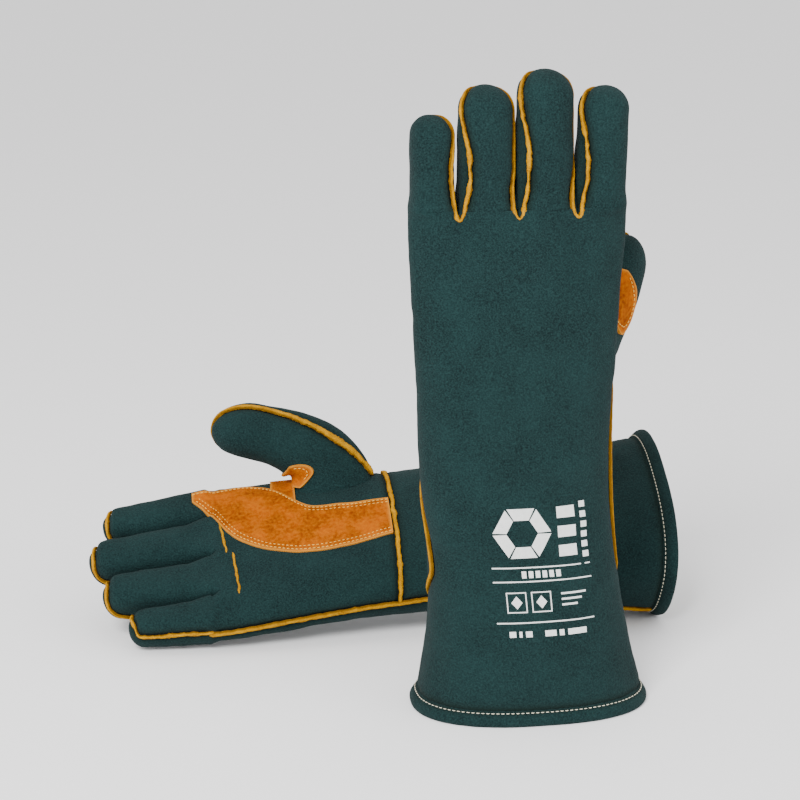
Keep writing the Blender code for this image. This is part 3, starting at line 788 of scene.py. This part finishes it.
def patch_path(glove, edge, gap, share=1.0):
    """A path beside one edge of the patch, gap metres inside it, for a share of its length."""
    def at(inset):
        z = np.linspace(PATCH_FROM, PATCH_FROM + (PATCH_TO - PATCH_FROM) * share, 150)
        x = edge(z)
        slope = np.gradient(x, z)
        inward = 1.0 if edge is patch_low else -1.0
        lean = np.sqrt(1 + slope ** 2)
        x, z = x + inward * gap / lean, z - inward * gap * slope / lean
        flat = palm_side_point(x, z, 0.0)
        return palm_side_point(x, z, inset - 0.0016 - relief(flat, glove.seed))
    return at


def palm_patch(glove):
    """The reinforcement: it follows the palm's relief and swells a little between its edges."""
    z = np.linspace(PATCH_FROM, PATCH_TO, 110)[:, None]
    part = np.linspace(0, 1, 56)[None, :]
    x = patch_low(z) * (1 - part) + patch_high(z) * part
    flat = palm_side_point(x, z, 0.0)
    middle = 1 - np.exp(-(seam_distance(flat, ALL_EDGES) / 0.004) ** 2)
    swell = relief(flat, glove.seed) + 0.0004 * middle
    walls = [palm_side_point(x, z, lift - swell) for lift in (-PATCH - 0.0002, 0.0006)]
    return cut_leather(glove, "palm_reinforcement", flat, walls)


def web_tab(glove):
    """The short orange tongue that carries the thumb's strap down to the palm's reinforcement."""
    z = np.linspace(0.2560, 0.2720, 22)[:, None]
    part = np.linspace(0, 1, 22)[None, :]
    x = (patch_high(z) - 0.0030) * (1 - part) + 0.0625 * part
    z = z - 0.0015 * part
    flat = palm_side_point(x, z, 0.0)
    walls = [palm_side_point(x, z, lift - relief(flat, glove.seed)) for lift in (-PATCH - 0.0008, 0.0004)]
    return cut_leather(glove, "thumb_web_tab", flat, walls)


# %% Fingers and thumb
def finger_seam(name, along, little_side):
    """Angle of a finger's seam.

    Between two fingers it starts at CROTCH_SEAM, reaches the finger's own angle by 0.3 of its
    length and swings back to the side before the tip. An outer seam keeps one angle.
    """
    final = math.radians((SEAM_LITTLE_SIDE if little_side else SEAM_THUMB_SIDE)[name])
    if name == ("little" if little_side else "index"):
        angle = (final + 0 * along) * SWING["share"]
    else:
        angle = final + (CROTCH_SEAM - final) * (1 - smooth_step(along / 0.30))
        angle = angle * (1 - 0.75 * smooth_step((along - 0.30) / 0.42))
    return math.pi - angle if little_side else angle


def seam_end(name, little_side, corner, inset):
    """The curve from the bottom of a crotch to the start of a finger's seam, at its corner."""
    sign = -1 if little_side else 1
    turn = np.linspace(0, math.pi / 2, 10)[:-1, None]
    if name == ("little" if little_side else "index"):
        bottom = hand_point(1, sign * half_width(CROTCH_Z), CROTCH_Z - 0.002, inset)
    else:
        bottom = hand_point(-1, CENTRE[name] + sign * (WIDTH[name] / 2 + 0.0010), CROTCH_Z - 0.0052,
                            inset - 0.0008)
    return bottom + (corner - bottom) * np.concatenate(
        [np.sin(turn) ** 0.7, np.sin(turn), (1 - np.cos(turn)) ** 1.1], 1)


def finger(glove, name):
    """Back and front leathers, the welt over the fingertip and the cotton lining of one finger."""
    along = stall_rows(34)
    first, last = finger_seam(name, along, False), finger_seam(name, along, True)

    def point(angle, along, inset):
        return finger_point(name, angle, along, inset)

    def seam(inset):
        rise = np.linspace(0.03, 1, 90)
        up, down = (point(finger_seam(name, rise, side), rise, inset) for side in (False, True))
        return np.concatenate([seam_end(name, False, up[0], inset), up, down[-2::-1],
                               seam_end(name, True, down[0], inset)[::-1]])

    made = stall_leathers(glove, ((f"{name}_finger_back", first, last, 30),
                                  (f"{name}_finger_front", last, first + 2 * math.pi, 48)), along, point)
    made.append(strip(glove, f"{name}_finger_welt", seam, 0.0013, 0.0012, proud=0.0001, rough=0.24))
    made.append(stall_lining(glove, f"{name}_finger_lining", point))
    return made


def thumb_seam(glove, along, inner):
    """Angle of the thumb's two seams: 0 is the side of the crotch, pi the outer side."""
    return glove.inner_seam + 0 * along if inner else math.pi - 0.95 * smooth_step(0.3 + along / 0.5)


def thumb(glove):
    """Back and front leathers, the welt over the tip and the cotton lining of the thumb."""
    point, along = glove.thumb.point, stall_rows(40)
    inner, outer = thumb_seam(glove, along, True), thumb_seam(glove, along, False)

    def seam(inset):
        rise = np.linspace(0.04, 1, 90)
        up, down = (point(thumb_seam(glove, rise, side), rise, inset) for side in (True, False))
        return np.concatenate([up, down[-2::-1]])

    made = stall_leathers(glove, (("thumb_back_leather", inner, outer, 44),
                                  ("thumb_front_leather", outer, inner + 2 * math.pi, 44)), along, point)
    made.append(strip(glove, "thumb_seam_welt", seam, 0.0022, 0.0015, proud=0.0002, rough=0.24))
    made.append(stall_lining(glove, "thumb_stall_lining", point))
    return made


def strap_width(glove, rows):
    """Half the strap's angle round the thumb: a flat power of half a sine wave along its length."""
    start, stop = glove.strap_rows
    return 1.25 * np.sin(math.pi * np.clip((rows - start + 0.02) / (stop - start + 0.05), 0, 1)) ** 0.4


def thumb_strap(glove):
    """The orange half-moon over the thumb's crotch."""
    part = np.linspace(-1, 1, 40)[None, :]
    rows = np.linspace(*glove.strap_rows, 44)[:, None]
    angle = glove.strap_turn + part * strap_width(glove, rows)

    def at(inset):
        flat = glove.thumb.point(angle, rows + 0 * angle, 0.0)
        return glove.thumb.point(angle, rows + 0 * angle, inset - relief(flat, glove.seed))
    return cut_leather(glove, "thumb_crotch_strap", at(0.0), [at(-STRAP_PROUD), at(-0.0002)])


def strap_path(glove, sign):
    """The path of the strap's stitches beside one of its long edges (sign 1 or -1)."""
    gap, radius = 0.0025, 0.016

    def at(inset):
        rows = np.linspace(glove.strap_rows[0] + 0.04, glove.strap_rows[1] - 0.04, 120)
        angle = glove.strap_turn + sign * (strap_width(glove, rows) - gap / radius)
        flat = glove.thumb.point(angle, rows, 0.0)
        return glove.thumb.point(angle, rows, inset - STRAP_PROUD - relief(flat, glove.seed))
    return at


# %% The generic white marks on the back of the cuff
def print_marks():
    """Four-cornered marks (x, z) on the cuff: a ring of six bars, plain bars, rules and frames."""
    def box(left, right, low, high):
        """An upright rectangle."""
        return [(left, low), (right, low), (right, high), (left, high)]

    marks = []
    for k in range(6):
        turns = np.radians([60 * k + 2, 60 * k + 58])
        ring = [(0.0178, turns[0]), (0.0178, turns[1]), (0.0095, turns[1]), (0.0095, turns[0])]
        marks.append([(-0.0045 + r * math.cos(t), 0.1212 + r * math.sin(t)) for r, t in ring])
    marks += [box(0.0175, 0.0290, z - 0.0036, z + 0.0036) for z in (0.1090, 0.1212, 0.1334)]
    marks += [box(0.0325, 0.0362, z - 0.0019, z + 0.0019) for z in np.linspace(0.1055, 0.1369, 6)]
    marks += [box(-0.0250, 0.0365, z - 0.0004, z + 0.0004) for z in (0.0994, 0.0908, 0.0650)]
    marks += [box(x, x + 0.0028, 0.0930, 0.0972) for x in np.linspace(-0.0070, 0.0145, 6)]
    for left in (-0.0180, -0.0025):
        right, low, high, line = left + 0.0125, 0.0712, 0.0842, 0.0007
        marks += [box(left, right, high - line, high), box(left, right, low, low + line)]
        marks += [box(x, x + line, low + line, high - line) for x in (left, right - line)]
        middle = (left + right) / 2
        marks += [[(middle, 0.0736), (middle + 0.0034, 0.0777), (middle, 0.0818), (middle - 0.0034, 0.0777)]]
    rules = ((0.0815, 0.016), (0.0780, 0.013), (0.0745, 0.010))
    marks += [box(0.0165, 0.0165 + wide, z, z + 0.0012) for z, wide in rules]
    row = ((-0.0180, 0.0040), (-0.0120, 0.0018), (-0.0080, 0.0040), (0.0040, 0.0070), (0.0130, 0.0030),
           (0.0185, 0.0120))
    marks += [box(x, x + wide, 0.0562, 0.0598) for x, wide in row]
    return marks


def cuff_print(glove):
    """The marks laid on the swelling leather of the back, as one thin skin of ink.

    A point at shares s and t of a four-cornered mark is the blend of its corners.
    """
    side, grids = 7, []
    s, t = np.linspace(0, 1, side)[:, None, None], np.linspace(0, 1, side)[None, :, None]
    for mark in print_marks():
        a, b, c, d = np.array(mark)
        grids.append((1 - s) * ((1 - t) * a + t * b) + s * ((1 - t) * d + t * c))
    x, z = np.moveaxis(np.array(grids), -1, 0)
    swell = relief(hand_point(-1, x, z, 0.0), glove.seed) + 0.0005
    walls = [glove.place(hand_point(-1, x, z, -lift - swell)) for lift in (0.00022, 0.00002)]
    faces, count = [], x.size
    for index in np.arange(count).reshape(-1, side, side):
        back = index + count
        faces += quads(index) + quads(back)
        for rim in (index[0], index[-1], index[:, 0], index[:, -1]):
            faces += quads(np.stack([rim, rim + count]))
    return mesh_object(f"{glove.side}_cuff_print", np.concatenate(walls), faces, INK)


# %% One whole glove, with the hand's pieces tied to its CAD hand body
def build(glove, seed):
    """All the pieces of one glove. The hand's pieces hang from its CAD body, and each replaced CAD node is
    hidden.
    """
    glove.seed, glove.thumb = seed, Thumb(glove.tip)
    SWING["share"], SWING["cuff"] = glove.seam_swing, glove.cuff_swing
    side = glove.side
    hand = f"{side}_hand"

    def tie(piece, slot, nodes):
        """Hides the CAD nodes that the piece replaces. The slot is not used."""
        if nodes:
            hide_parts(*[f"{side}_{n}" for n in nodes])

    def ride(piece, slot, *nodes):
        """The piece moves with the glove's hand."""
        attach(piece, hand)
        tie(piece, slot, nodes)

    def bend(piece, slot, finger_name, ends, *nodes):
        """Bakes the piece's transform into its mesh and hides the CAD nodes it replaces."""
        low, high = glove.place(np.array(ends))
        tuple(low)
        tuple(high)
        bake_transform(piece)
        tie(piece, slot, nodes)

    def knuckle(name):
        """Two places on a finger's centre, in the glove's own axes: at the crotch and BEND_LENGTH above it.
        """
        middle = float(CENTRE[name])
        return (middle, 0, CROTCH_Z), (middle, 0, CROTCH_Z + BEND_LENGTH)

    sheets = hand_leathers(glove)
    ride(sheets["back_leather"], "green_leather", "back_panel")
    ride(sheets["palm_leather"], "green_leather", "palm_panel")
    ride(sheets["cuff_leather"], "green_leather", "cuff_panel")
    ride(hem(glove), "green_leather", "cuff_hem")
    ride(hand_lining(glove), "cotton_lining", "hand_lining")
    ride(strip(glove, "thumb_side_seam_welt", side_seam(1.0), 0.0014, 0.0012), "golden_welt",
         "thumb_side_welt")
    ride(strip(glove, "little_side_seam_welt", side_seam(-1.0), 0.0016, 0.0014), "golden_welt",
         "little_side_welt")
    ride(strip(glove, "wrist_seam_welt", wrist_seam, 0.0016, 0.0012), "golden_welt", "wrist_welt")
    ride(stitches(glove, "hem_stitches", [hem_row], 0.0031, 0.00027, HEM_THREAD), "cotton_lining")
    ride(cuff_print(glove), "cotton_lining")
    lines = ((0.0270, -0.0070, 0.3100, 0.3060), (-0.0080, -0.0430, 0.3020, 0.2990))
    for number, ends in enumerate(lines):
        ride(strip(glove, f"finger_base_welt_{number + 1}", across_palm(glove, *ends), 0.0009, 0.0010),
             "golden_welt")

    ride(web_tab(glove), "orange_leather")
    patch = palm_patch(glove)
    rows = [patch_path(glove, patch_low, 0.0021), patch_path(glove, patch_low, 0.0048),
            patch_path(glove, patch_high, 0.0021), patch_path(glove, patch_high, 0.0048, 0.42)]
    thread = stitches(glove, "reinforcement_stitches", rows, 0.0030, 0.00030, GOLD_THREAD)
    bend(patch, "orange_leather", "index", knuckle("index"), "palm_patch")
    bend(thread, "orange_leather", "index", knuckle("index"))

    node_names = ("back", "front", "welt", "lining", "strap")
    slots = ("green_leather", "green_leather", "golden_welt", "cotton_lining", "orange_leather")
    for name in FINGERS:
        for piece, node_name, slot in zip(finger(glove, name), node_names, slots):
            bend(piece, slot, name, knuckle(name), f"{name}_{node_name}")

    ends = glove.thumb.frame(np.array([0.02, 0.34]))[0]
    for piece, node_name, slot in zip([*thumb(glove), thumb_strap(glove)], node_names, slots):
        bend(piece, slot, "thumb", ends, f"thumb_{node_name}")
    rows = [strap_path(glove, 1), strap_path(glove, -1)]
    thread = stitches(glove, "strap_stitches", rows, 0.0030, 0.00030, GOLD_THREAD)
    bend(thread, "orange_leather", "thumb", ends)
    print(side, "glove built")


build(Standing(), 11)
build(Lying(), 47)

# %% Floor, light and camera
bpy.ops.mesh.primitive_plane_add(size=12, location=(0, 0, 0))
floor = bpy.context.object
floor.name = "floor"
pale = bpy.data.materials.new("pale_floor")
pale.use_nodes = True
shader = pale.node_tree.nodes["Principled BSDF"].inputs
for label, value in (("Base Color", (0.95, 0.945, 0.95, 1)), ("Roughness", 0.9), ("Specular IOR Level", 0.1)):
    shader[label].default_value = value
floor.data.materials.append(pale)

world = bpy.data.worlds.new("soft_studio")
bpy.context.scene.world = world
world.use_nodes = True
world.node_tree.nodes["Background"].inputs["Color"].default_value = (1, 1, 1, 1)
world.node_tree.nodes["Background"].inputs["Strength"].default_value = 1.30


def area_light(name, place, target, size, energy):
    """A square light of a size in metres and a power in watts, aimed at a place."""
    data = bpy.data.lights.new(name, "AREA")
    data.size, data.energy = size, energy
    lamp = bpy.data.objects.new(name, data)
    bpy.context.scene.collection.objects.link(lamp)
    lamp.location = place
    aim(lamp, target)


def aim(thing, target):
    """Turn a light or camera so that its -Z axis points at a place."""
    away = type(thing.location)(thing.location) - type(thing.location)(target)
    thing.rotation_euler = away.to_track_quat("Z", "Y").to_euler()


area_light("key", (-0.9, -1.5, 1.5), (0, 0, 0.15), 0.8, 62)
area_light("fill", (1.6, -1.2, 0.9), (0, 0, 0.15), 1.4, 12)

# the camera looks along forward; the numbers below put the gloves where the photo has them
azimuth, elevation = math.radians(9.2), math.radians(15.0)
distance, rightward, lowered = 1.42, 0.0818, 0.1898
forward = np.array([math.sin(azimuth) * math.cos(elevation), math.cos(azimuth) * math.cos(elevation),
                    -math.sin(elevation)])
right = np.array([math.cos(azimuth), -math.sin(azimuth), 0.0])
upward = np.cross(right, forward)
camera = bpy.data.objects.new("camera", bpy.data.cameras.new("camera"))
bpy.context.scene.collection.objects.link(camera)
camera.data.lens, camera.data.sensor_width = 100, 36
camera.location = SHIFT - (distance * forward + rightward * right - lowered * upward)
aim(camera, camera.location + type(camera.location)(forward))
bpy.context.scene.camera = camera
